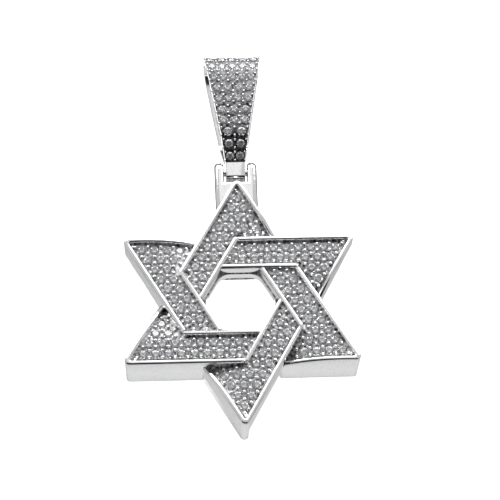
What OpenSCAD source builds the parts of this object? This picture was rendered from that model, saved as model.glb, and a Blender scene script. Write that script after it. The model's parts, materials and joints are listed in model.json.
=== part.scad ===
// A star of David pendant: six stone-set bands woven into a star, hinged to a tapering bail.
// The origin is where a chain bears, at the top inside the bail's loop.
// Z is up, X is to the right as seen from the front, and the stones look along -Y.

/* [Star] */
// Reach from the centre to a tip, measured before the tip is rounded
tip_reach = 15.6; // [14.5:0.1:19]
// Width of each woven band
band_w = 4.05; // [3.7:0.05:4.6]
// Thickness from the crown of a band to the flat back
star_t = 5.3; // [4.9:0.1:7]
// Radius of the crowned face across a band
crown_r = 11.7; // [10.5:0.1:16]
// Width of the polished rim round each field of stones
rim_w = 0.55; // [0.4:0.05:0.7]
// Depth of a field of stones below the crowned face
field_depth = 0.6; // [0.45:0.05:0.8]
// Radius at the six tips
tip_round = 0.55; // [0.3:0.05:0.8]
// Length that a band runs on inside the neighbour that covers its end
band_lap = 0.3; // [0.2:0.05:0.35]
// Set-back of a rim's end behind the wall of the band that it covers
seam = 0.03; // [0.02:0.01:0.05]

/* [Opening in the middle] */
// Depth below the crown at which the opening's round-cornered collar starts
collar_depth = 1.6; // [1.4:0.1:1.9]
// Length that the collar stands in past the bands' walls
collar_w = 0.1; // [0.05:0.05:0.3]
// Radius in the corners of the collar
collar_round = 1.8; // [1:0.1:2.5]
// Depth below the crown at which the opening steps wider
step_depth = 2.6; // [2:0.1:3.2]
// Extra room on each side of the opening behind the step
step_w = 0.5; // [0.3:0.05:0.8]
// Radius in the corners behind the step
step_round = 0.6; // [0.3:0.05:1]
// Size of the bevel round the opening's back edge
back_bevel = 0.9; // [0.5:0.1:1.2]

/* [Stones] */
// Girdle diameter of a stone in the star
star_stone_d = 1.1; // [0.95:0.05:1.2]
// Distance between neighbouring stones in the star's staggered rows
star_pitch = 1.43; // [1.38:0.01:1.6]
// Girdle diameter of a stone in the bail
bail_stone_d = 0.98; // [0.85:0.01:1]
// Distance between the rows of stones up the bail
row_pitch = 1.47; // [1.3:0.01:1.8]
// Gap between a stone and the metal of its seat
seat_gap = 0.04; // [0.02:0.01:0.06]
// Least metal between a stone and the rim beside it
stone_margin = 0.1; // [0.08:0.01:0.2]

/* [Hinge] */
// Height of the pin above a sharp tip
pin_rise = 1.85; // [1.8:0.05:3]
// Depth of the pin behind the crown of the bands, under which the star balances
pin_depth = 2.93; // [2.4:0.01:3.2]
// Diameter of the pin
pin_d = 0.9; // [0.7:0.05:1.1]
// Width over both ears
clevis_w = 5; // [4.6:0.1:5.5]
// Width of the slot between the ears
slot_w = 2.8; // [2.6:0.05:3.1]
// Radius of the ears round the pin
ear_r = 1.2; // [1.1:0.05:1.4]
// Depth of the slot below the pin
slot_drop = 1.75; // [1.7:0.05:1.8]
// Radial room for the pin to turn in the bail's foot
pin_play = 0.05; // [0.03:0.01:0.08]
// Radial gap between the pin and the ears that hold it
pin_seat = 0.02; // [0.01:0.01:0.03]

/* [Bail] */
// Width of the plain foot between the ears
foot_w = 2.25; // [2:0.05:2.4]
// Half the foot's depth, and its reach below the pin
foot_half = 1.2; // [1.1:0.05:1.25]
// Height of the foot's plain face above the pin
foot_top = 0.8; // [0.6:0.05:1.1]
// Radius along the foot's lower edges
foot_round = 0.4; // [0.2:0.05:0.6]
// Height of the upper loop's centre above the pin
bail_rise = 12.5; // [10:0.1:16]
// Outer radius of the loop, seen from the side
bail_r = 3.15; // [3.05:0.05:4]
// Thickness of the strip that the loop is bent from
bail_t = 1.05; // [0.95:0.05:1.05]
// Angle at which the strip leaves the foot
bail_lean = 30; // [25:1:35]
// Width at the top of the loop
bail_top_w = 7; // [5.5:0.1:8]
// Depth of the field of stones below the strip's surface
bail_recess = 0.35; // [0.25:0.05:0.4]
// Reach of the field of stones past the top of the loop
field_end = 0.6; // [0.3:0.1:1]
// Height of the first row of stones above the foot's plain face
first_row = 0.74; // [0.6:0.02:1]
// Least metal between the bail's edge and the stone beside it
edge_room = 0.06; // [0.04:0.01:0.1]
// Radius in the narrow bottom of the loop's opening
throat_r = 0.45; // [0.3:0.05:0.6]

/* [Hidden] */
$fn = 48;
silver = "gainsboro";
crystal = "aliceblue";
bands = 6;
cut_past = 1;
collar_extra = 0.3;
collar_lap = 0.15;
snug = 0.001;
arc_step = 15;
crown_sides = 96;

// Proportions of a cut stone, as shares of its girdle diameter
table_share = 0.58;
crown_share = 0.15;
girdle_share = 0.05;
pavilion_share = 0.42;
facets = 8;
spin_step = 17;

// The outline of one band lies on a grid of 60 degree lines.
// u runs along the band from its tip, and v runs from its outer edge towards the middle.
tip_side = tip_reach / sqrt(3);
inner_u = band_w / sqrt(3);
end_u = 2 * tip_side - 2 * inner_u;
lap_u = band_lap / sin(60);
past_u = (band_lap + cut_past) / sin(60);
row_step = star_pitch * sin(60);
stone_room = star_stone_d / 2 + stone_margin;
band_rows = 1 + floor((band_w - 2 * rim_w - 2 * stone_room) / row_step);
first_v = (band_w - (band_rows - 1) * row_step) / 2;
tip_rows = 1 + ceil((tip_side * sin(60) - first_v) / row_step);
row_stones = 1 + ceil(2 * tip_side / star_pitch);
floor_r = crown_r - field_depth;
opening_r = tip_reach / 2 - band_w;

pin_up = tip_reach + pin_rise;
clevis_root = tip_reach - clevis_w / 2 * sqrt(3) - band_lap;
pin_z = -(bail_rise + bail_r - bail_t);

low_rise = (bail_r - foot_half * cos(bail_lean)) / sin(bail_lean) + foot_top;
strip_floor = bail_r - bail_recess;
lean_end = [-bail_r * cos(bail_lean), low_rise - bail_r * sin(bail_lean)];
lean_run = norm(lean_end - [-foot_half, foot_top]);
bend_run = lean_run + strip_floor * bail_lean * PI / 180;
straight_run = bend_run + bail_rise - low_rise;
whole_run = straight_run + strip_floor * PI / 2;
bail_rows = floor((whole_run - first_row - bail_stone_d / 2) / row_pitch);

function turned(p, a) = [p.x, p.y * cos(a) - p.z * sin(a), p.y * sin(a) + p.z * cos(a)];

function ring(r, z, first) =
    [for (i = [0 : facets - 1]) [r * cos(first + i * 360 / facets), r * sin(first + i * 360 / facets), z]];

// One cut stone: a table, a crown of kites and stars, a thin girdle and a pointed pavilion.
// Its girdle stands on z = 0, and its face looks along +Z.
function stone_points(d, spin) = concat(
    ring(d * table_share / 2, d * (girdle_share + crown_share), spin),
    ring(d / 2, d * girdle_share, spin + 180 / facets),
    ring(d / 2, 0, spin + 180 / facets),
    [[0, 0, -d * pavilion_share]]);

function next(i) = (i + 1) % facets;

stone_faces = concat(
    [[for (i = [facets - 1 : -1 : 0]) i]],
    [for (i = [0 : facets - 1]) [i, next(i), facets + i]],
    [for (i = [0 : facets - 1]) [next(i), facets + next(i), facets + i]],
    [for (i = [0 : facets - 1]) [facets + i, facets + next(i), 2 * facets + next(i), 2 * facets + i]],
    [for (i = [0 : facets - 1]) [2 * facets + i, 2 * facets + next(i), 3 * facets]]);
stone_corners = 3 * facets + 1;

// Each seat is [place, turn about X]. Its stone stands on the floor of the field.
module stones(seats, d) {
    polyhedron(
        points = [for (k = [0 : len(seats) - 1]) for (p = stone_points(d, k * spin_step))
            seats[k][0] + turned(p, seats[k][1])],
        faces = [for (k = [0 : len(seats) - 1]) for (f = stone_faces) [for (i = f) i + k * stone_corners]]);
}

module seat_holes(seats, d) {
    for (s = seats)
        translate(s[0]) rotate([s[1], 0, 0]) translate([0, 0, -pavilion_share * d - seat_gap])
            cylinder(d = d + 2 * seat_gap, h = pavilion_share * d + seat_gap + cut_past);
}

// The rounded tip is an arc about a centre on the line that halves its 60 degrees.
tip_arc = [for (a = [150 : arc_step : 270])
    tip_round * [sqrt(3) + cos(a), 1 + sin(a)]];

function tip_top(side) = [side / 2, side * sin(60)];

module band_outline() {
    polygon(concat(tip_arc, [
        [end_u + lap_u, 0],
        [end_u + inner_u + lap_u, band_w],
        [tip_side - inner_u + lap_u, band_w],
        tip_top(tip_side + lap_u)]));
}

// The field leaves a rim along the band's free edges, and runs on under both neighbours.
module field_outline() {
    inner_v = band_w - rim_w;
    far = tip_side + past_u;
    apex_u = far / 2 + rim_w / sqrt(3);
    seam_u = tip_side + seam / sin(60);
    polygon([
        [rim_w * sqrt(3), rim_w],
        [end_u + rim_w / sqrt(3) + past_u, rim_w],
        [end_u + inner_v / sqrt(3) + past_u, inner_v],
        [seam_u - inner_v / sqrt(3), inner_v],
        [seam_u - inner_u, band_w],
        [tip_side - inner_u + past_u, band_w],
        [apex_u, (far - apex_u) * sqrt(3)]]);
}

// A band's crowned face is part of a long barrel that lies along the band.
module barrel(r) {
    translate([-tip_side, band_w / 2, -crown_r]) rotate([0, 90, 0])
        cylinder(r = r, h = 2 * tip_reach, $fn = crown_sides);
}

// Stones stand on a triangular grid that starts in the corner of the tip.
function grid_u(i, j) = first_v * sqrt(3) + (i + j / 2) * star_pitch;
function grid_v(j) = first_v + j * row_step;
function clear_tip(u, v) = u * sin(60) - v * cos(60) - rim_w >= stone_room - snug;
function clear_end(u, v) = (end_u - u) * sin(60) + v * cos(60) >= stone_room;
function clear_side(u, v) =
    v <= band_w - rim_w - stone_room || (tip_side - u) * sin(60) - v * cos(60) >= stone_room;
star_seats = [for (j = [0 : tip_rows]) for (i = [0 : row_stones])
    let (u = grid_u(i, j), v = grid_v(j), tilt = asin((v - band_w / 2) / floor_r))
    if (clear_tip(u, v) && clear_end(u, v) && clear_side(u, v))
        [[u, v, floor_r * cos(tilt) - crown_r], -tilt]];

module band() {
    difference() {
        intersection() {
            translate([0, 0, -star_t - cut_past]) linear_extrude(star_t + 2 * cut_past) band_outline();
            barrel(crown_r);
        }
        difference() {
            translate([0, 0, -star_t / 2]) linear_extrude(star_t) field_outline();
            barrel(floor_r);
        }
        seat_holes(star_seats, star_stone_d);
    }
}

// Puts a band's own place on one of the star's six tips, with the star lying face up.
module at_tip(k) {
    a = 90 - (k - 1) * 360 / bands;
    rotate([0, 0, a]) translate([tip_reach, 0, 0]) rotate([0, 0, 150]) children();
}

// Stands a star that was drawn face up, so that its pin is on the hinge axis.
module stood_up() {
    translate([0, -pin_depth, pin_z - pin_up]) rotate([90, 0, 0]) children();
}

// A hexagon with its flats at a distance r and corners of radius corner_r.
module round_hexagon(r, corner_r) {
    polygon([for (k = [0 : bands - 1]) for (a = [-30 : arc_step : 30])
        (r - corner_r) / cos(30) * [cos(k * 60), sin(k * 60)] + corner_r * [cos(k * 60 + a), sin(k * 60 + a)]]);
}

// The collar is drawn deeper than it is, and opening_behind() cuts it level with the step.
module collar() {
    translate([0, 0, -step_depth - collar_extra]) linear_extrude(step_depth + collar_extra - collar_depth)
        difference() {
            circle(r = (opening_r + collar_lap) / cos(30), $fn = bands);
            round_hexagon(opening_r - collar_w, collar_round);
        }
}

module opening_behind() {
    r = opening_r + step_w;
    translate([0, 0, -star_t - cut_past]) linear_extrude(star_t + cut_past - step_depth)
        round_hexagon(r, step_round);
    translate([0, 0, -star_t - cut_past]) cylinder(h = back_bevel + cut_past, $fn = bands,
        r1 = (r + back_bevel + cut_past) / cos(30), r2 = r / cos(30));
}

// The bands are cast a little too deep, and their backs are then ground flat together.
module ground_back() {
    translate([-tip_reach, -tip_reach, -star_t - 2 * cut_past])
        cube([2 * tip_reach, 2 * tip_reach, 2 * cut_past]);
}

module clevis() {
    rotate([90, 0, 90]) difference() {
        translate([0, 0, -clevis_w / 2]) linear_extrude(clevis_w) union() {
            translate([pin_up, -pin_depth]) circle(ear_r);
            translate([clevis_root, -pin_depth - ear_r]) square([pin_up - clevis_root, 2 * ear_r]);
        }
        translate([pin_up - slot_drop, -pin_depth - 2 * ear_r, -slot_w / 2])
            cube([slot_drop + 2 * ear_r, 4 * ear_r, slot_w]);
        translate([pin_up, -pin_depth, -clevis_w]) cylinder(r = pin_d / 2 + pin_seat, h = 2 * clevis_w);
    }
}

module star_frame() {
    color(silver) stood_up() difference() {
        union() {
            for (k = [1 : bands]) at_tip(k) band();
            collar();
            clevis();
        }
        ground_back();
        opening_behind();
    }
}

module star_stones(k) {
    color(crystal) stood_up() at_tip(k) stones(star_seats, star_stone_d);
}

module hinge_pin() {
    color(silver) translate([-clevis_w / 2, 0, pin_z]) rotate([0, 90, 0]) cylinder(d = pin_d, h = clevis_w);
}

// Side view of the bail about the pin, with the strip's surface cut back by inset.
module loop_side(inset) {
    r = bail_r - inset;
    t = [r * cos(bail_lean), low_rise - r * sin(bail_lean)];
    f = [foot_half - inset * cos(bail_lean), foot_top + inset * sin(bail_lean)];
    translate([0, low_rise]) circle(r);
    translate([0, bail_rise]) circle(r);
    translate([-r, low_rise]) square([2 * r, bail_rise - low_rise]);
    polygon([[-t.x, t.y], [-f.x, f.y], [inset - foot_half, 0], [foot_half - inset, 0], f, t]);
}

module foot_side() {
    low = foot_round - foot_half;
    for (x = [low, -low]) translate([x, low]) circle(foot_round);
    translate([low, -foot_half]) square([-2 * low, foot_half]);
    translate([-foot_half, low]) square([2 * foot_half, foot_top - low]);
}

// The opening that a chain passes through narrows to a round throat above the foot.
module opening_side() {
    r = bail_r - bail_t;
    low = low_rise - (r - throat_r) / sin(bail_lean);
    c = cos(bail_lean);
    s = sin(bail_lean);
    translate([0, low]) circle(throat_r);
    translate([0, low_rise]) circle(r);
    translate([0, bail_rise]) circle(r);
    translate([-r, low_rise]) square([2 * r, bail_rise - low_rise]);
    polygon([[-r * c, low_rise - r * s], [-throat_r * c, low - throat_r * s],
        [throat_r * c, low - throat_r * s], [r * c, low_rise - r * s]]);
}

function bail_w(z) = foot_w + (bail_top_w - foot_w) * max(0, z - foot_top) / (bail_rise + bail_r - foot_top);

module bail_front() {
    top = bail_rise + bail_r + cut_past;
    polygon([[-foot_w / 2, -2 * foot_half], [foot_w / 2, -2 * foot_half], [foot_w / 2, foot_top],
        [bail_w(top) / 2, top], [-bail_w(top) / 2, top], [-foot_w / 2, foot_top]]);
}

// Place and turn at a run s along the floor of the bail's field, as [y, z, turn].
function bail_place(s) =
    s < lean_run ? [
        (bail_recess * cos(bail_lean) - foot_half) - s * sin(bail_lean),
        foot_top + bail_recess * sin(bail_lean) + s * cos(bail_lean), 90 + bail_lean]
    : s < bend_run ? let (a = bail_lean - (s - lean_run) / strip_floor * 180 / PI)
        [-strip_floor * cos(a), low_rise - strip_floor * sin(a), 90 + a]
    : s < straight_run ? [-strip_floor, low_rise + s - bend_run, 90]
    : let (a = (s - straight_run) / strip_floor * 180 / PI)
        [-strip_floor * cos(a), bail_rise + strip_floor * sin(a), 90 - a];

bail_seats = [for (j = [0 : bail_rows])
    let (p = bail_place(first_row + j * row_pitch), w = bail_w(p[1]) - 2 * edge_room,
        n = floor(w / (bail_stone_d + 2 * seat_gap + edge_room / 2)))
    for (i = [0 : n - 1]) [[(i + 0.5) * w / n - w / 2, p[0], p[1]], p[2]]];

module bail_frame() {
    color(silver) translate([0, 0, pin_z]) difference() {
        intersection() {
            rotate([90, 0, 90]) translate([0, 0, -bail_top_w]) linear_extrude(2 * bail_top_w) difference() {
                union() {
                    loop_side(0);
                    foot_side();
                }
                opening_side();
                difference() {
                    translate([-2 * bail_r, foot_top]) square([2 * bail_r + field_end, bail_rise + bail_r]);
                    loop_side(bail_recess);
                }
            }
            rotate([90, 0, 0]) translate([0, 0, -2 * bail_r]) linear_extrude(4 * bail_r) bail_front();
        }
        translate([-foot_w, 0, 0]) rotate([0, 90, 0]) cylinder(r = pin_d / 2 + pin_play, h = 2 * foot_w);
        seat_holes(bail_seats, bail_stone_d);
    }
}

module bail_stones() {
    color(crystal) translate([0, 0, pin_z]) stones(bail_seats, bail_stone_d);
}

star_frame();
for (k = [1 : bands])
    star_stones(k);
hinge_pin();
bail_frame();
bail_stones();
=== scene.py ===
import json
from math import acos, asin, ceil, cos, degrees, floor, hypot, pi, radians, sin, sqrt

import bmesh
import bpy
from mathutils import Matrix, Quaternion, Vector


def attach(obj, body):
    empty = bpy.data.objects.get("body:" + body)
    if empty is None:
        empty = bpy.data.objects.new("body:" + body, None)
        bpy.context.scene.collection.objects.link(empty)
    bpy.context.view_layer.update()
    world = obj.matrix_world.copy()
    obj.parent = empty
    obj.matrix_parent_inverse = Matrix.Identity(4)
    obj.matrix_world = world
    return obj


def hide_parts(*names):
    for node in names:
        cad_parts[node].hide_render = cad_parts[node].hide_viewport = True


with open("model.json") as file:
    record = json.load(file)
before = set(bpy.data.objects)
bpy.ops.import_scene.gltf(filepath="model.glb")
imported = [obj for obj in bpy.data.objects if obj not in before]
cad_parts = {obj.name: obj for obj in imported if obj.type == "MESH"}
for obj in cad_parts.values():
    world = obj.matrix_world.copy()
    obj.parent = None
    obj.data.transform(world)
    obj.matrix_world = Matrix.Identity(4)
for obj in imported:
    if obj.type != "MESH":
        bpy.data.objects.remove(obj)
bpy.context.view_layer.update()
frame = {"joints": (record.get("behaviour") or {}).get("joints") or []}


# The camera stands below the hanging pendant, a little to its left, and looks up at it through a
# long lens. Its place, aim, roll and lens were fitted to the photograph's 500 x 500 frame.
MM = 0.001
camera_place = Vector((-7.18, -187.49, -115.71)) * MM
camera_aim = Vector((1.235, -2.93, -26.14)) * MM
camera_roll = radians(2.32)
camera = bpy.data.objects.new("camera", bpy.data.cameras.new("camera"))
camera.data.sensor_width = 36
camera.data.lens = 129.94
camera.data.clip_start = 10 * MM
camera.location = camera_place
camera.rotation_mode = "QUATERNION"
camera.rotation_quaternion = (
    (camera_aim - camera_place).to_track_quat("-Z", "Y") @ Quaternion((0, 0, 1), -camera_roll))
bpy.context.scene.collection.objects.link(camera)
bpy.context.scene.camera = camera


# The stage is one sheet of white paper, a floor that sweeps up into a wall behind the pendant.
# Soft boxes light it from the front, both sides and above, as for a jeweller's catalogue.
# Its colour carries painted light: a white disc behind the pendant is a painted pool of light,
# and around it the paper is painted grey as painted shade, darker higher up.
def linear(hex_code):
    """An sRGB hex colour as linear RGBA."""
    def channel(i):
        c = int(hex_code[i:i + 2], 16) / 255
        return c / 12.92 if c <= 0.04045 else ((c + 0.055) / 1.055) ** 2.4
    return tuple(channel(i) for i in (0, 2, 4)) + (1,)


def node(material, kind, links=(), **settings):
    """Adds a node with its settings, and links (output, input name) into it."""
    new = material.node_tree.nodes.new(kind)
    for name, value in settings.items():
        if hasattr(new, name):
            setattr(new, name, value)
        else:
            new.inputs[name.replace("_", " ")].default_value = value
    for output, name in links:
        material.node_tree.links.new(output, new.inputs[name])
    return new


def new_material(name, **shader):
    """A material with its Principled shader's own sockets set. Returns it and the shader."""
    material = bpy.data.materials.new(name)
    material.use_nodes = True
    bsdf = material.node_tree.nodes["Principled BSDF"]
    for socket, value in shader.items():
        bsdf.inputs[socket.replace("_", " ")].default_value = value
    return material, bsdf


def new_object(name, bm, *materials):
    """Turns a bmesh in millimetres into an object at the origin, with its place in its mesh."""
    bm.transform(Matrix.Scale(MM, 4))
    mesh = bpy.data.meshes.new(name)
    bm.to_mesh(mesh)
    bm.free()
    for material in materials:
        mesh.materials.append(material)
    piece = bpy.data.objects.new(name, mesh)
    bpy.context.scene.collection.objects.link(piece)
    return piece


floor_z = -200
wall_y = 400
stage_half = 1200
sweep_r = 150
paper, paper_bsdf = new_material("paper_painted_light_pool", Roughness=0.9)
place = node(paper, "ShaderNodeTexCoord").outputs["Object"]
# Painted pool of light: white inside the disc, painted shade outside it, darker with height.
behind = node(paper, "ShaderNodeVectorMath", [(place, "Vector")], operation="DISTANCE")
behind.inputs[1].default_value = Vector((20, wall_y, 182)) * MM
fade = node(paper, "ShaderNodeMapRange", [(behind.outputs["Value"], "Value")],
            From_Min=139 * MM, From_Max=153 * MM)
height = node(paper, "ShaderNodeSeparateXYZ", [(place, "Vector")])
shade = node(paper, "ShaderNodeMapRange", [(height.outputs["Z"], "Value")],
             From_Min=-50 * MM, From_Max=300 * MM, To_Min=0.5)
both = node(paper, "ShaderNodeMath", [(fade.outputs["Result"], 0), (shade.outputs["Result"], 1)],
            operation="MULTIPLY")
grade = node(paper, "ShaderNodeValToRGB", [(both.outputs["Value"], "Fac")])
grade.color_ramp.elements[0].color = linear("F4F4F4")
grade.color_ramp.elements[1].color = linear("404040")
grade.color_ramp.elements.new(0.5).color = linear("C6C6C6")
paper.node_tree.links.new(grade.outputs["Color"], paper_bsdf.inputs["Base Color"])
bm = bmesh.new()
near = [bm.verts.new((x, -stage_half, floor_z)) for x in (-stage_half, stage_half)]
far = [bm.verts.new((x, wall_y, floor_z)) for x in (-stage_half, stage_half)]
top = [bm.verts.new((x, wall_y, stage_half)) for x in (-stage_half, stage_half)]
bm.faces.new((near[0], near[1], far[1], far[0]))
bm.faces.new((far[0], far[1], top[1], top[0]))
fold = [e for e in bm.edges if set(e.verts) == set(far)]
bmesh.ops.bevel(bm, geom=fold, offset=sweep_r, segments=12, profile=0.5, affect="EDGES", material=-1)
for face in bm.faces:
    face.smooth = True
new_object("paper_sweep", bm, paper)

world = bpy.data.worlds.new("studio")
bpy.context.scene.world = world
world.use_nodes = True
world.node_tree.nodes["Background"].inputs["Color"].default_value = linear("F4F4F5")
world.node_tree.nodes["Background"].inputs["Strength"].default_value = 0.66
bpy.context.scene.view_settings.view_transform = "Standard"


def softbox(name, place, size, brightness, aim=camera_aim):
    """A rectangular light of one brightness all over. Place and size are in millimetres."""
    data = bpy.data.lights.new(name, "AREA")
    data.shape = "RECTANGLE"
    data.size, data.size_y = size[0] * MM, size[1] * MM
    data.energy = brightness * pi * data.size * data.size_y
    light = bpy.data.objects.new(name, data)
    light.location = Vector(place) * MM
    light.rotation_mode = "QUATERNION"
    light.rotation_quaternion = (aim - light.location).to_track_quat("-Z", "Y")
    bpy.context.scene.collection.objects.link(light)


softbox("softbox_front", (0, -380, 150), (160, 300), 0.33)
softbox("softbox_top", (0, -230, 330), (420, 260), 4)
softbox("softbox_left", (-300, -260, 360), (230, 200), 6.5)
softbox("softbox_right", (320, -230, 360), (230, 200), 6.5)
softbox("softbox_wall", (0, 120, 420), (600, 300), 4.2, Vector((0, 0.4, 0.38)))

# A black card lies under the front of the star, out of the picture, and draws its lower edges.
felt, _ = new_material("black_felt", Base_Color=linear("0A0A0A"), Roughness=1)
bm = bmesh.new()
bmesh.ops.create_grid(bm, x_segments=1, y_segments=1, size=200)
bmesh.ops.translate(bm, verts=bm.verts, vec=(0, -240, -150))
flag = new_object("black_card", bm, felt)
flag.visible_camera = False


# The star's casting is sterling silver: six bands, each laid over one neighbour and under the
# other, soldered into one and polished. A rounded rim stands round each sunk field of stones,
# and each stone's seat is drilled into the floor of its field.
tip_reach, band_w, star_t, crown_r = 15.6, 4.05, 5.3, 11.7
rim_w, field_depth, tip_round = 0.55, 0.6, 0.55
band_lap, seam = 0.3, 0.03
step_depth, step_w, step_round, back_bevel = 2.6, 0.5, 0.6, 0.9
collar_depth, collar_w, collar_round, collar_lap = 1.6, 0.1, 1.8, 0.15
stone_d, stone_pitch, seat_gap, stone_margin = 1.1, 1.43, 0.04, 0.1
rim_soft, notch_soft, back_soft = 0.25, 0.3, 0.12
pin_rise, pin_depth, pin_d, pin_seat = 1.85, 2.93, 0.9, 0.02
clevis_w, slot_w, slot_drop, ear_r, ear_soft, slot_soft = 5, 2.8, 1.75, 1.2, 0.5, 0.3
table_share, girdle_share, crown_share, pavilion_share = 0.58, 0.05, 0.15, 0.42
bands = 6
S60, C60 = sin(pi / 3), 0.5
pin_z = frame["joints"][0]["pos_m"][2] / MM
pin_up = tip_reach + pin_rise
tip_side = tip_reach / sqrt(3)
inner_u = band_w / sqrt(3)
end_u = 2 * tip_side - 2 * inner_u
lap_u = band_lap / S60
floor_r = crown_r - field_depth

# Sterling silver polished on a wheel: it mirrors its surroundings, a little unevenly, and carries
# hairline scratches from wear. The scratches are drawn 0.05 mm wide so that they show.
silver, silver_bsdf = new_material("polished_sterling_silver", Metallic=1)
place = node(silver, "ShaderNodeTexCoord").outputs["Object"]
wave = node(silver, "ShaderNodeTexNoise", [(place, "Vector")], Scale=0.7 / MM, Detail=2)
buffed = node(silver, "ShaderNodeBump", [(wave.outputs["Fac"], "Height")], Strength=1, Distance=0.012 * MM)
turned = node(silver, "ShaderNodeMapping", [(place, "Vector")], vector_type="TEXTURE",
              Rotation=(0.4, 0.9, 0.3), Scale=(1, 1, 0.07))
hairs = node(silver, "ShaderNodeTexNoise", [(turned.outputs["Vector"], "Vector")], Scale=1.4 / MM, Detail=3)
scratched = node(silver, "ShaderNodeBump", [
    (hairs.outputs["Fac"], "Height"), (buffed.outputs["Normal"], "Normal")], Strength=1, Distance=0.003 * MM)
sheen = node(silver, "ShaderNodeMapRange", [(hairs.outputs["Fac"], "Value")], To_Min=0.03, To_Max=0.1)
tint = node(silver, "ShaderNodeValToRGB", [(hairs.outputs["Fac"], "Fac")])
tint.color_ramp.elements[0].position, tint.color_ramp.elements[0].color = 0.5, linear("F7F7F7")
tint.color_ramp.elements[1].position, tint.color_ramp.elements[1].color = 0.75, linear("DCDCDC")
silver.node_tree.links.new(tint.outputs["Color"], silver_bsdf.inputs["Base Color"])
silver.node_tree.links.new(scratched.outputs["Normal"], silver_bsdf.inputs["Normal"])
silver.node_tree.links.new(sheen.outputs["Result"], silver_bsdf.inputs["Roughness"])

# The floors of the fields keep a dull skin between the stones, where no wheel reaches. Their tones
# vary at random and are kept dark, as painted shade on the sunk floors between the stones.
def dull_silver(name, dark, light, painted_light_top=0.0):
    """A dull skin with tones from dark to light that vary at random. What lies higher than z = -7 mm is painted
    lighter, by up to the given amount, as painted light.
    """
    material, bsdf = new_material(name, Metallic=1, Roughness=0.45)
    place = node(material, "ShaderNodeTexCoord").outputs["Object"]
    grit = node(material, "ShaderNodeTexNoise", [(place, "Vector")], Scale=3 / MM, Detail=3)
    height = node(material, "ShaderNodeSeparateXYZ", [(place, "Vector")])
    rise = node(material, "ShaderNodeMapRange", [(height.outputs["Z"], "Value")],
                From_Min=-7 * MM, From_Max=-2 * MM, To_Max=painted_light_top)
    both = node(material, "ShaderNodeMath", [(grit.outputs["Fac"], 0), (rise.outputs["Result"], 1)])
    tone = node(material, "ShaderNodeValToRGB", [(both.outputs["Value"], "Fac")])
    tone.color_ramp.elements[0].position, tone.color_ramp.elements[0].color = 0.35, linear(dark)
    tone.color_ramp.elements[1].position, tone.color_ramp.elements[1].color = 0.75, linear(light)
    skin = node(material, "ShaderNodeBump", [(grit.outputs["Fac"], "Height")], Strength=1, Distance=0.02 * MM)
    material.node_tree.links.new(tone.outputs["Color"], bsdf.inputs["Base Color"])
    material.node_tree.links.new(skin.outputs["Normal"], bsdf.inputs["Normal"])
    return material


seat_silver = dull_silver("dull_silver_painted_shade", "38383A", "E4E4E5")


def arc(centre, r, start, end, steps):
    """Points round a centre from one angle to another, both included, in degrees."""
    return [(centre[0] + r * cos(radians(start + (end - start) * i / steps)),
             centre[1] + r * sin(radians(start + (end - start) * i / steps))) for i in range(steps + 1)]


def prism(outline, low, high):
    """A closed prism over an outline in the XY plane, from z = low to z = high."""
    bm = bmesh.new()
    face = bm.faces.new([bm.verts.new((x, y, low)) for x, y in outline])
    raised = bmesh.ops.extrude_face_region(bm, geom=[face])["geom"]
    bmesh.ops.translate(bm, verts=[v for v in raised if isinstance(v, bmesh.types.BMVert)], vec=(0, 0, high - low))
    bmesh.ops.recalc_face_normals(bm, faces=bm.faces[:])
    return bm


def cut_through(bm, point, normal):
    bmesh.ops.bisect_plane(
        bm, geom=bm.verts[:] + bm.edges[:] + bm.faces[:], dist=1e-5, plane_co=point, plane_no=normal)


def bevel(bm, edges, offset, segments):
    bmesh.ops.bevel(bm, geom=edges, offset=offset, segments=segments, profile=0.5, affect="EDGES",
                    material=-1, clamp_overlap=False)


def combined(body, tool, operation):
    """The bmesh of body after a boolean with tool, both of them bmeshes, which it frees."""
    objects = []
    for name, bm in (("body", body), ("tool", tool)):
        mesh = bpy.data.meshes.new(name)
        bm.to_mesh(mesh)
        bm.free()
        mesh.materials.append(silver)
        mesh.materials.append(seat_silver)
        objects.append(bpy.data.objects.new(name, mesh))
        bpy.context.scene.collection.objects.link(objects[-1])
    modifier = objects[0].modifiers.new("boolean", "BOOLEAN")
    modifier.operation = operation
    modifier.object = objects[1]
    modifier.solver = "EXACT"
    result = bmesh.new()
    result.from_object(objects[0], bpy.context.evaluated_depsgraph_get())
    for o in objects:
        mesh = o.data
        bpy.data.objects.remove(o)
        bpy.data.meshes.remove(mesh)
    return result


def repeated(bm, places):
    """One bmesh with a copy of bm, which it frees, at each of the matrices."""
    mesh = bpy.data.meshes.new("part")
    bm.to_mesh(mesh)
    bm.free()
    whole = bmesh.new()
    for place in places:
        count = len(whole.verts)
        whole.from_mesh(mesh)
        bmesh.ops.transform(whole, matrix=place, verts=whole.verts[count:])
    bpy.data.meshes.remove(mesh)
    return whole


def at_tip(k):
    """A band's own place on one of the six tips, with the star lying face up."""
    return (Matrix.Rotation(radians(90 - (k - 1) * 60), 4, "Z") @ Matrix.Translation((tip_reach, 0, 0))
            @ Matrix.Rotation(radians(150), 4, "Z"))


stood_up = Matrix.Translation((0, -pin_depth, pin_z - pin_up)) @ Matrix.Rotation(pi / 2, 4, "X")


def along(u, v, angle):
    """Distance of (u, v) along a direction."""
    return u * cos(radians(angle)) + v * sin(radians(angle))


# Stones stand on a triangular grid that starts in the corner of the tip.
row_step = stone_pitch * S60
stone_room = stone_d / 2 + stone_margin
first_v = (band_w - floor((band_w - 2 * rim_w - 2 * stone_room) / row_step) * row_step) / 2


def in_field(u, v, room):
    """Whether a point of a band is in its field, at least room away from the rims."""
    return (v >= rim_w + room - 1e-6 and along(u, v, -30) >= rim_w + room - 1e-3
            and along(end_u - u, v, 30) >= room
            and (v <= band_w - rim_w - room or along(tip_side - u, -v, 30) >= room))


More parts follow.
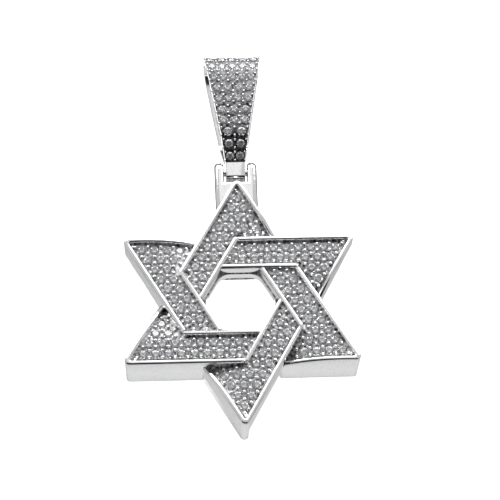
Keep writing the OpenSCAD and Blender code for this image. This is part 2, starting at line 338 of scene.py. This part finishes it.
def on_floor(u, v):
    """The place and turn on the curved floor of a band's field."""
    tilt = asin((v - band_w / 2) / floor_r)
    return Matrix.Translation((u, v, floor_r * cos(tilt) - crown_r)) @ Matrix.Rotation(-tilt, 4, "X")


grid = [(first_v * sqrt(3) + (i + j / 2) * stone_pitch, first_v + j * row_step)
        for j in range(-1, 8) for i in range(-3, 16)]
star_seats = [p for p in grid if in_field(*p, stone_room)]

band = prism(
    arc((tip_round * sqrt(3), tip_round), tip_round, 150, 270, 8) + [
        (end_u + lap_u, 0), (end_u + inner_u + lap_u, band_w), (tip_side - inner_u + lap_u, band_w),
        ((tip_side + lap_u) / 2, (tip_side + lap_u) * S60)],
    -star_t - 1, -field_depth)
cut_through(band, (0, rim_w, 0), (0, 1, 0))
cut_through(band, (rim_w * S60, -rim_w * C60, 0), (S60, -C60, 0))
cut_through(band, (0, band_w - rim_w, 0), (0, 1, 0))
cut_through(band, (0, band_w, 0), (0, 1, 0))
cut_through(band, (tip_side + seam / S60, 0, 0), (S60, C60, 0))


def is_rim(face):
    u, v, z = face.calc_center_median()
    return face.normal.z > 0.9 and (v < rim_w or along(u, v, -30) < rim_w or (
        band_w - rim_w < v < band_w and along(u, v, 30) > tip_side * S60 + seam))


band.normal_update()
# The field floors take the dull skin, with its painted shade.
for face in band.faces:
    face.material_index = int(face.normal.z > 0.9)
rims = [f for f in band.faces if is_rim(f)]
raised = bmesh.ops.extrude_face_region(band, geom=rims)["geom"]
bmesh.ops.delete(band, geom=[f for f in rims if f.is_valid], context="FACES")
bmesh.ops.translate(band, verts=[v for v in raised if isinstance(v, bmesh.types.BMVert)], vec=(0, 0, field_depth))
band.normal_update()
for face in band.faces:
    if face.calc_center_median().z > -field_depth + 0.01:
        face.material_index = 0
bmesh.ops.dissolve_edges(band, edges=[e for e in band.edges if all(abs(v.co.z) < 1e-4 for v in e.verts)
                                      and all(f.normal.z > 0.9 for f in e.link_faces)])
turns = [Vector((tip_side + seam / S60 - (band_w - rim_w) / sqrt(3), band_w - rim_w)), Vector((rim_w * sqrt(3), rim_w))]
bevel(band, [e for e in band.edges if abs(e.verts[0].co.z - e.verts[1].co.z) > field_depth / 2
             and any(all((v.co.xy - turn).length < 0.01 for v in e.verts) for turn in turns)], notch_soft, 4)


def lapped(u, v):
    """Whether a point of a band is on an end that is hidden inside a neighbour."""
    return (abs(along(u, v, -30) - (end_u + lap_u) * S60) < 0.01
            or v > band_w - 0.01 and abs(along(u, v, 30) - (tip_side + lap_u) * S60) < 0.01)


def is_corner(edge, z):
    middle = (edge.verts[0].co + edge.verts[1].co) / 2
    return (all(abs(v.co.z - z) < 1e-4 for v in edge.verts) and len(edge.link_faces) == 2
            and edge.calc_face_angle(0) > 1 and not lapped(*middle.xy))


band.normal_update()
bevel(band, [e for e in band.edges if is_corner(e, 0)], rim_soft, 5)

# Where a band runs under its neighbour its rims sink, so that the neighbour's rim lies on top.
sink_run, sunk_share = 0.06, 0.25
cut_through(band, (end_u - sink_run, 0, 0), (S60, -C60, 0))
cut_through(band, (tip_side - sink_run, 0, 0), (S60, C60, 0))
for vert in band.verts:
    u, v, z = vert.co
    if z > -field_depth and (lapped(u, v) or (
            along(u, v, 30) > tip_side * S60 + 0.01 and along(u, v, -30) < rim_w + 0.01)):
        vert.co.z = (z + field_depth) * sunk_share - field_depth
bend_step = 0.45
for i in range(1, ceil(tip_side / bend_step)):
    cut_through(band, (0, i * bend_step, 0), (0, 1, 0))
for vert in band.verts:
    if vert.co.z > -star_t / 3:
        vert.co.z = sqrt((crown_r + vert.co.z) ** 2 - (vert.co.y - band_w / 2) ** 2) - crown_r

drill = bmesh.new()
bmesh.ops.create_cone(drill, cap_ends=True, segments=20, radius1=stone_d / 2 + seat_gap,
                      radius2=stone_d / 2 + seat_gap, depth=1 + pavilion_share * stone_d + seat_gap)
bmesh.ops.translate(drill, verts=drill.verts, vec=(0, 0, (1 - pavilion_share * stone_d - seat_gap) / 2))
drills = repeated(drill, [on_floor(u, v) for u, v in star_seats])



def hexagon(r, corner_r):
    """A hexagon with its flats at a distance r and rounded corners."""
    out = (r - corner_r) / cos(pi / 6)
    return [p for k in range(6) for p in arc(
        (out * cos(k * pi / 3), out * sin(k * pi / 3)), corner_r, k * 60 - 30, k * 60 + 30, 6)]


# The opening has a collar with round corners, and widens behind it. The collar's ledge and the
# walls of the wider part take the field's dark skin, as painted shade in the step.
opening_r = tip_reach / 2 - band_w + step_w
collar = prism(hexagon(opening_r - step_w + collar_lap, 0.01), -step_depth - 0.3, -collar_depth)
for face in collar.faces:
    face.material_index = int(face.normal.z > 0.9)
collar = combined(collar, prism(hexagon(opening_r - step_w - collar_w, collar_round), -star_t, 0), "DIFFERENCE")
reamer = prism(hexagon(opening_r, step_round), -star_t - 3, -step_depth)
countersink = bmesh.new()
bmesh.ops.create_cone(countersink, cap_ends=True, segments=bands, radius1=(opening_r + back_bevel + 1) / cos(pi / 6),
                      radius2=opening_r / cos(pi / 6) - 0.01, depth=back_bevel + 1)
bmesh.ops.rotate(countersink, verts=countersink.verts, matrix=Matrix.Rotation(pi / 6, 3, "Z"))
bmesh.ops.translate(countersink, verts=countersink.verts, vec=(0, 0, -star_t + (back_bevel - 1) / 2))
# The walls behind the step take the field's dark skin, as painted shade.
for face in reamer.faces:
    face.material_index = 1
reamer = combined(reamer, countersink, "UNION")
band = combined(band, drills, "DIFFERENCE")

clevis = prism(arc((pin_up, -pin_depth), ear_r, -90, 90, 16) + [
    (tip_reach - clevis_w / 2 * sqrt(3), -pin_depth + ear_r), (tip_reach - clevis_w / 2 * sqrt(3), -pin_depth - ear_r)],
    -clevis_w / 2, clevis_w / 2)
clevis.transform(Matrix(((0, 0, 1, 0), (1, 0, 0, 0), (0, 1, 0, 0), (0, 0, 0, 1))))
slot = prism([(-slot_w / 2, pin_up - slot_drop), (slot_w / 2, pin_up - slot_drop),
              (slot_w / 2, pin_up + 2 * ear_r), (-slot_w / 2, pin_up + 2 * ear_r)],
             -pin_depth - 2 * ear_r, -pin_depth + 2 * ear_r)
# The walls and floor of the slot take the field's dark skin, as painted shade between the ears.
for face in slot.faces:
    face.material_index = 1
clevis = combined(clevis, slot, "DIFFERENCE")
bevel(clevis, [e for e in clevis.edges if e.calc_face_angle(0) > 1 and max(v.co.y for v in e.verts) > tip_reach
               and all(abs(v.co.x) > clevis_w / 2 - 0.01 for v in e.verts)], ear_soft, 4)
clevis.normal_update()
bevel(clevis, [e for e in clevis.edges if e.calc_face_angle(0) > 1 and (
               max(v.co.y for v in e.verts) > pin_up - slot_drop + 0.01 or e.verts[0].co.x != e.verts[1].co.x)
               and all(v.co.y > pin_up - slot_drop - 0.01 and abs(abs(v.co.x) - slot_w / 2) < 0.01 for v in e.verts)],
      slot_soft, 3)
pin_hole = bmesh.new()
bmesh.ops.create_cone(pin_hole, cap_ends=True, segments=32, radius1=pin_d / 2 + pin_seat, radius2=pin_d / 2 + pin_seat,
                      depth=2 * clevis_w, matrix=Matrix.Translation((0, pin_up, -pin_depth)) @ Matrix.Rotation(pi / 2, 4, "Y"))
clevis = combined(clevis, pin_hole, "DIFFERENCE")

star = clevis
mesh = bpy.data.meshes.new("band")
band.to_mesh(mesh)
band.free()
for k in range(1, bands + 1):
    one = bmesh.new()
    one.from_mesh(mesh)
    for vert in one.verts:
        if vert.co.z < -star_t:
            vert.co.z -= 0.05 * k
    one.transform(at_tip(k))
    star = combined(star, one, "UNION")
star = combined(combined(star, collar, "UNION"), reamer, "DIFFERENCE")
star = combined(star, prism([(-20, -20), (20, -20), (20, 20), (-20, 20)], -star_t - 2, -star_t), "DIFFERENCE")
bmesh.ops.remove_doubles(star, verts=star.verts, dist=1e-4)
bmesh.ops.dissolve_degenerate(star, dist=1e-4, edges=star.edges)
bmesh.ops.dissolve_limit(star, angle_limit=radians(0.1), verts=star.verts, edges=star.edges)
bevel(star, [e for e in star.edges if all(abs(v.co.z + star_t) < 1e-4 for v in e.verts)
             and len(e.link_faces) == 2 and e.calc_face_angle(0) > 1], back_soft, 2)
for face in star.faces:
    face.smooth = True
star.transform(stood_up)
star_casting = new_object("star_casting", star, silver, seat_silver)
star_casting.data.set_sharp_from_angle(angle=radians(32))
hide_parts("star_frame")
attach(star_casting, "star")

# The star's stones are round brilliants of clear cubic zirconia, cut with a table, a crown of
# stars, kites and girdle facets, a thin girdle and a pointed pavilion. Each stands in its seat
# with its girdle on the floor of the field.
zirconia, zirconia_bsdf = new_material(
    "cut_cubic_zirconia", IOR=2.15, Transmission_Weight=0.92)
place = node(zirconia, "ShaderNodeTexCoord").outputs["Object"]
smear = node(zirconia, "ShaderNodeTexNoise", [(place, "Vector")], Scale=0.8 / MM, Detail=2)
film = node(zirconia, "ShaderNodeMapRange", [(smear.outputs["Fac"], "Value")], From_Min=0.4, From_Max=0.8, To_Max=0.05)
cast = node(zirconia, "ShaderNodeValToRGB", [(smear.outputs["Fac"], "Fac")])
cast.color_ramp.elements[0].position, cast.color_ramp.elements[0].color = 0.35, linear("FCFCFE")
cast.color_ramp.elements[1].position, cast.color_ramp.elements[1].color = 0.65, linear("F4F5F8")
zirconia.node_tree.links.new(film.outputs["Result"], zirconia_bsdf.inputs["Roughness"])
zirconia.node_tree.links.new(cast.outputs["Color"], zirconia_bsdf.inputs["Base Color"])
stone_turn = radians(17)
facets = 8


def ring(r, z, half_turns):
    return [(r * cos((i + half_turns / 2) * 2 * pi / facets), r * sin((i + half_turns / 2) * 2 * pi / facets), z)
            for i in range(facets)]


def brilliant(d):
    """A round brilliant of girdle diameter d, whose girdle stands on z = 0."""
    half = cos(pi / facets)
    crown_slope = crown_share / (0.5 - table_share / 2)
    star_r, low_r = 0.395, 0.12
    star_z = girdle_share + crown_share - crown_slope * (star_r * half - table_share / 2)
    low_z = pavilion_share * (low_r * half / 0.5 - 1)
    bm = bmesh.new()
    for point in (ring(table_share / 2, girdle_share + crown_share, 0) + ring(star_r, star_z, 1)
                  + ring(0.5, girdle_share, 0) + ring(0.5, girdle_share, 1) + ring(0.5, 0, 0) + ring(0.5, 0, 1)
                  + ring(low_r, low_z, 1) + [(0, 0, -pavilion_share)]):
        bm.verts.new(Vector(point) * d)
    bmesh.ops.convex_hull(bm, input=bm.verts)
    bmesh.ops.dissolve_limit(bm, angle_limit=radians(1), verts=bm.verts, edges=bm.edges)
    return bm


for k in range(1, bands + 1):
    stones = repeated(brilliant(stone_d), [
        stood_up @ at_tip(k) @ on_floor(u, v) @ Matrix.Rotation(i * stone_turn, 4, "Z")
        for i, (u, v) in enumerate(star_seats)])
    band_stones = new_object("band_stones_%d" % k, stones, zirconia)
    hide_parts("star_stones_%d" % k)
    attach(band_stones, "star")


# The grains are small beads of silver, raised from the floor between the stones with a graver
# and rounded with a beading tool, so that each leans on the stones round it and holds them.
grain_r, grain_room = 0.22, 0.14


def grain(r):
    bm = bmesh.new()
    bmesh.ops.create_uvsphere(bm, u_segments=10, v_segments=6, radius=r)
    for face in bm.faces:
        face.smooth = True
    return bm


lift = Matrix.Translation((0, 0, 0.08))
low_lift = Matrix.Translation((0, 0, 0.03))
grain_seats = [(u + stone_pitch / 2, v + side * stone_pitch / sqrt(12)) for u, v in grid for side in (-1, 1)]
grain_seats = [p for p in grain_seats if in_field(*p, grain_room)] + [(2 * (rim_w + 0.22), rim_w + 0.22)]
grain_seats += [p for p in grid if in_field(*p, grain_room) and p not in star_seats]
grain_seats = [p for p in grain_seats if (Vector(p) - turns[0]).length > 0.45]
grains = repeated(grain(grain_r), [
    stood_up @ at_tip(k) @ on_floor(u, v) @ lift for k in range(1, bands + 1) for u, v in grain_seats])
star_grains = new_object("star_grains", grains, silver)
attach(star_grains, "star")


# The hinge pin is a plain drawn silver wire, pressed through both ears and filed flush.
hinge_pin = bpy.data.objects["hinge_pin"]
for slot in hinge_pin.material_slots:
    slot.material = silver


# The bail is cast sterling silver: a plain foot that turns on the pin, and a strip bent into a
# loop that widens to its top. Its front and the start of its top are cut back for the stones.
foot_w, foot_half, foot_top, foot_round = 2.25, 1.2, 0.8, 0.4
bail_rise, bail_r, bail_t, bail_lean, bail_top_w = 12.5, 3.15, 1.05, 30, 7
bail_recess, field_end, first_row, row_pitch, edge_room = 0.35, 0.6, 0.74, 1.47, 0.06
bail_stone_d, throat_r, pin_play, bail_soft, side_rim, rim_rise = 0.98, 0.45, 0.05, 0.1, 0.14, 0.18
lean_c, lean_s = cos(radians(bail_lean)), sin(radians(bail_lean))
low_rise = (bail_r - foot_half * lean_c) / lean_s + foot_top
strip_r = bail_r - bail_recess
inside_r = bail_r - bail_t
corner = foot_round - foot_half
front_r = strip_r + rim_rise
hung = Matrix.Translation((0, 0, pin_z))
side_on = Matrix(((0, 0, 1, 0), (1, 0, 0, 0), (0, 1, 0, 0), (0, 0, 0, 1)))


def bail_w(z):
    return foot_w + (bail_top_w - foot_w) * max(0, z - foot_top) / (bail_rise + bail_r - foot_top)


bail = prism(
    arc((corner, corner), foot_round, 180, 270, 6) + arc((-corner, corner), foot_round, 270, 360, 6)
    + [(foot_half, foot_top)] + arc((0, low_rise), bail_r, -bail_lean, 0, 6)
    + arc((0, bail_rise), bail_r, 0, degrees(acos(field_end / bail_r)), 18)
    + arc((0, bail_rise), front_r, degrees(acos(field_end / front_r)), 180, 22)
    + arc((0, low_rise), front_r, 180, 180 + bail_lean, 6)
    + [((bail_r - front_r) / lean_c - foot_half, foot_top), (-foot_half, foot_top)], -1, 1)
throat_z = low_rise - (inside_r - throat_r) / lean_s
# The side rims keep a dull skin like the field's, with its painted shade.
for face in bail.faces:
    y, z, _ = face.calc_center_median()
    face.material_index = int(abs(face.normal.z) < 0.5 and y < field_end - 0.01 and z > foot_top + 0.01)
opening = prism(
    arc((0, throat_z), throat_r, 180 + bail_lean, 360 - bail_lean, 8) + arc((0, low_rise), inside_r, -bail_lean, 0, 6)
    + arc((0, bail_rise), inside_r, 0, 180, 40) + arc((0, low_rise), inside_r, 180, 180 + bail_lean, 6), -2, 2)
field = prism(
    [(-6, foot_top), (bail_recess - foot_half - 0.0386, foot_top),
     (bail_recess * lean_c - foot_half, foot_top + bail_recess * lean_s)]
    + arc((0, low_rise), strip_r, 180 + bail_lean, 180, 6)
    + arc((0, bail_rise), strip_r, 180, degrees(acos(field_end / strip_r)), 24) + [(field_end, 17), (-6, 17)], -1, 1)
bail = combined(bail, opening, "DIFFERENCE")
bail.transform(side_on)
field.transform(side_on)
field.normal_update()
cut_through(bail, (0, 0, foot_top), (0, 0, 1))
for vert in bail.verts:
    vert.co.x *= bail_w(vert.co.z) / 2
for vert in field.verts:
    vert.co.x *= bail_w(vert.co.z) / 2 - side_rim
bail.normal_update()
bevel(bail, [e for e in bail.edges if len(e.link_faces) == 2 and e.calc_face_angle(0) > 1
             and sum(abs(f.normal.x) > 0.8 for f in e.link_faces) == 1], bail_soft, 3)
bmesh.ops.remove_doubles(bail, verts=bail.verts, dist=1e-4)
pin_hole = bmesh.new()
bmesh.ops.create_cone(pin_hole, cap_ends=True, segments=32, radius1=pin_d / 2 + pin_play, radius2=pin_d / 2 + pin_play,
                      depth=4 * foot_w, matrix=Matrix.Rotation(pi / 2, 4, "Y"))
bail = combined(bail, pin_hole, "DIFFERENCE")
# The floor of the bail's field takes its dark skin, as painted shade.
for face in field.faces:
    face.material_index = int(abs(face.normal.x) < 0.8)
bail = combined(bail, field, "DIFFERENCE")

lean_run = hypot(bail_r * lean_c - foot_half, low_rise - bail_r * lean_s - foot_top)
bend_run = lean_run + strip_r * radians(bail_lean)
straight_run = bend_run + bail_rise - low_rise
bail_rows = 1 + floor((straight_run + strip_r * pi / 2 - first_row - bail_stone_d / 2) / row_pitch)


def on_strip(s, x=0.0):
    """The place and turn at a run s up the floor of the bail's field, x off its middle."""
    if s < lean_run:
        y, z = bail_recess * lean_c - foot_half - s * lean_s, foot_top + bail_recess * lean_s + s * lean_c
        turn = pi / 2 + radians(bail_lean)
    elif s < bend_run:
        a = radians(bail_lean) - (s - lean_run) / strip_r
        y, z, turn = -strip_r * cos(a), low_rise - strip_r * sin(a), pi / 2 + a
    elif s < straight_run:
        y, z, turn = -strip_r, low_rise + s - bend_run, pi / 2
    else:
        a = (s - straight_run) / strip_r
        y, z, turn = -strip_r * cos(a), bail_rise + strip_r * sin(a), pi / 2 - a
    return Matrix.Translation((x, y, z)) @ Matrix.Rotation(turn, 4, "X")


def row_of(s):
    """The offsets of the stones in the row at a run s."""
    w = bail_w(on_strip(s).translation.z) - 2 * edge_room
    n = floor(w / (bail_stone_d + 2 * seat_gap + edge_room / 2))
    return [(i + 0.5) * w / n - w / 2 for i in range(n)]


rows = [first_row + j * row_pitch for j in range(bail_rows)]
bail_seats = [on_strip(s, x) for s in rows for x in row_of(s)]
drill = bmesh.new()
bmesh.ops.create_cone(drill, cap_ends=True, segments=20, radius1=bail_stone_d / 2 + seat_gap,
                      radius2=bail_stone_d / 2 + seat_gap, depth=1 + pavilion_share * bail_stone_d + seat_gap)
bmesh.ops.translate(drill, verts=drill.verts, vec=(0, 0, (1 - pavilion_share * bail_stone_d - seat_gap) / 2))
bail = combined(bail, repeated(drill, bail_seats), "DIFFERENCE")

# The side rims are filed down beside each stone, which leaves them as claws.
file_r = 0.5
scallop = bmesh.new()
bmesh.ops.create_cone(scallop, cap_ends=True, segments=24, radius1=file_r, radius2=file_r, depth=2 * bail_top_w,
                      matrix=Matrix.Translation((0, 0, file_r + 0.06)) @ Matrix.Rotation(pi / 2, 4, "Y"))
# The filed cuts take the bail's dark skin, as painted shade.
for face in scallop.faces:
    face.material_index = 1
bail = combined(bail, repeated(scallop, [on_strip(s) for s in rows]), "DIFFERENCE")
for face in bail.faces:
    face.smooth = True
bail.transform(hung)
# The bail's dull skin is painted nearly black as painted shade, and lighter towards its top as painted light.
bail_casting = new_object("bail_casting", bail, silver, dull_silver("bail_skin_painted_shade", "0E0E0F", "909092", 0.15))
bail_casting.data.set_sharp_from_angle(angle=radians(32))
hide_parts("bail_frame")
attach(bail_casting, "bail")

stones = repeated(brilliant(bail_stone_d), [
    hung @ seat @ Matrix.Rotation(i * stone_turn, 4, "Z") for i, seat in enumerate(bail_seats)])
bail_brilliants = new_object("bail_brilliants", stones, zirconia)
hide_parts("bail_stones")
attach(bail_brilliants, "bail")

# Grains stand above and below each gap between two stones, and at both ends of each row.
bail_grain_seats = []
for s in rows:
    offsets = row_of(s)
    gap = offsets[1] - offsets[0]
    for x in [offsets[0] - gap / 2 + 0.04] + [x + gap / 2 for x in offsets[:-1]] + [offsets[-1] + gap / 2 - 0.04]:
        bail_grain_seats += [on_strip(s + rise, x) for rise in (-0.47, 0.47)]
bail_grains = new_object("bail_grains", repeated(grain(0.16), [hung @ seat @ low_lift for seat in bail_grain_seats]), silver)
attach(bail_grains, "bail")
